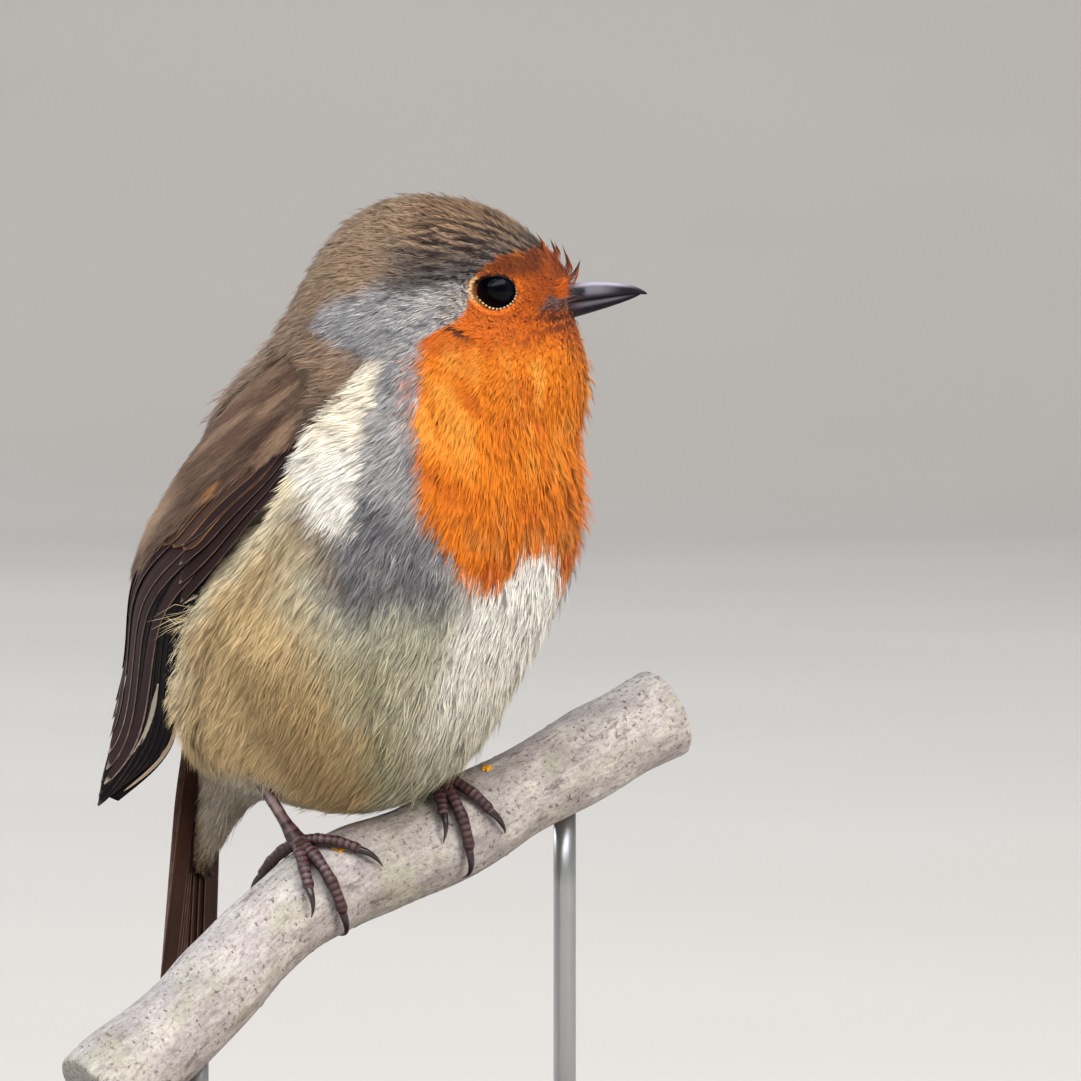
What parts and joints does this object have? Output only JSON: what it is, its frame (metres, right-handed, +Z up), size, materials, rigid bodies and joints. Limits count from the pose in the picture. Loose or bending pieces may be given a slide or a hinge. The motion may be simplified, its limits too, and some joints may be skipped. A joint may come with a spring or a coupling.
{
  "type": "european robin on a perch",
  "caption": "Small round-bodied songbird at rest on a cut length of branch, head turned aside, held over a flat base by upright rods.",
  "frame": {"origin": "centre of the underside of the display base", "axes": "+Z up; +X along the base's long side, the way the bird looks; +Y along its short side; the trunk faces between +X and -Y"},
  "size_m": [0.124, 0.078, 0.1487],
  "materials": {
    "plumage_head": "soft short feathers, olive brown crown, orange face",
    "plumage_breast": "soft loose feathers, orange with a grey border",
    "plumage_body": "soft loose feathers, off-white to grey-buff below, brown above",
    "flight_feathers": "firm vanes with a slight sheen, dark brown with paler edges",
    "bill_and_claws": "smooth dark horn",
    "eye": "wet black-brown",
    "leg_skin": "scaled dark brown skin",
    "bark": "pale grey bark with darker flecks, sawn ends",
    "stand_wood": "dark oiled wood, satin",
    "stand_steel": "brushed"
  },
  "bodies": {
    "root": {"head": "plumage_head", "neck": "plumage_breast", "trunk": "plumage_body", "undertail": "plumage_body", "tail": "flight_feathers", "bill_upper": "bill_and_claws", "bill_lower": "bill_and_claws", "eye_left": "eye", "eye_right": "eye", "wing_left_coverts": "flight_feathers", "wing_left_secondaries": "flight_feathers", "wing_left_primaries": "flight_feathers", "wing_right_coverts": "flight_feathers", "wing_right_secondaries": "flight_feathers", "wing_right_primaries": "flight_feathers", "leg_left": "leg_skin", "leg_right": "leg_skin", "foot_left": "leg_skin", "foot_right": "leg_skin", "claw_left_inner": "bill_and_claws", "claw_left_middle": "bill_and_claws", "claw_left_outer": "bill_and_claws", "claw_left_hind": "bill_and_claws", "claw_right_inner": "bill_and_claws", "claw_right_middle": "bill_and_claws", "claw_right_outer": "bill_and_claws", "claw_right_hind": "bill_and_claws", "perch": "bark", "stand_base": "stand_wood", "stand_rod_lower": "stand_steel", "stand_rod_upper": "stand_steel"}
  },
  "joints": []
}
